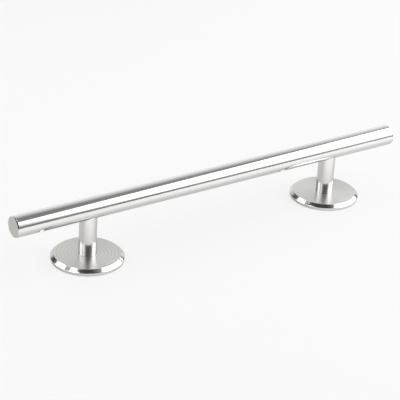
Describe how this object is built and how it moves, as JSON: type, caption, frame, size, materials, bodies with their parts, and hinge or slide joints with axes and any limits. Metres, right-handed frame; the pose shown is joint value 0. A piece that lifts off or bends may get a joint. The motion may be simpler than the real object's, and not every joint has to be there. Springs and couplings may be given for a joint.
{
  "type": "grab rail",
  "caption": "Straight polished grab rail: a capped round tube held off the deck by round posts, each on a chamfered round rosette.",
  "frame": {"origin": "on the deck plane, midway between the two posts", "axes": "+X along the handrail, +Z away from the deck"},
  "size_m": [0.467, 0.075, 0.0672],
  "materials": {
    "polished_steel": "polished",
    "turned_steel": "satin",
    "fastener_steel": "satin",
    "seal_rubber": "matte"
  },
  "bodies": {
    "root": {"handrail_tube": "polished_steel", "left_end_cap": "polished_steel", "right_end_cap": "polished_steel", "left_end_cap_outer_ring": "seal_rubber", "left_end_cap_inner_ring": "seal_rubber", "right_end_cap_outer_ring": "seal_rubber", "right_end_cap_inner_ring": "seal_rubber", "left_post": "polished_steel", "right_post": "polished_steel", "left_rosette": "turned_steel", "right_rosette": "turned_steel", "left_saddle_nut": "fastener_steel", "right_saddle_nut": "fastener_steel", "left_rail_screw": "fastener_steel", "right_rail_screw": "fastener_steel", "left_lock_washer": "fastener_steel", "right_lock_washer": "fastener_steel", "left_retaining_ring": "fastener_steel", "right_retaining_ring": "fastener_steel", "left_deck_seal": "seal_rubber", "right_deck_seal": "seal_rubber"}
  },
  "joints": []
}
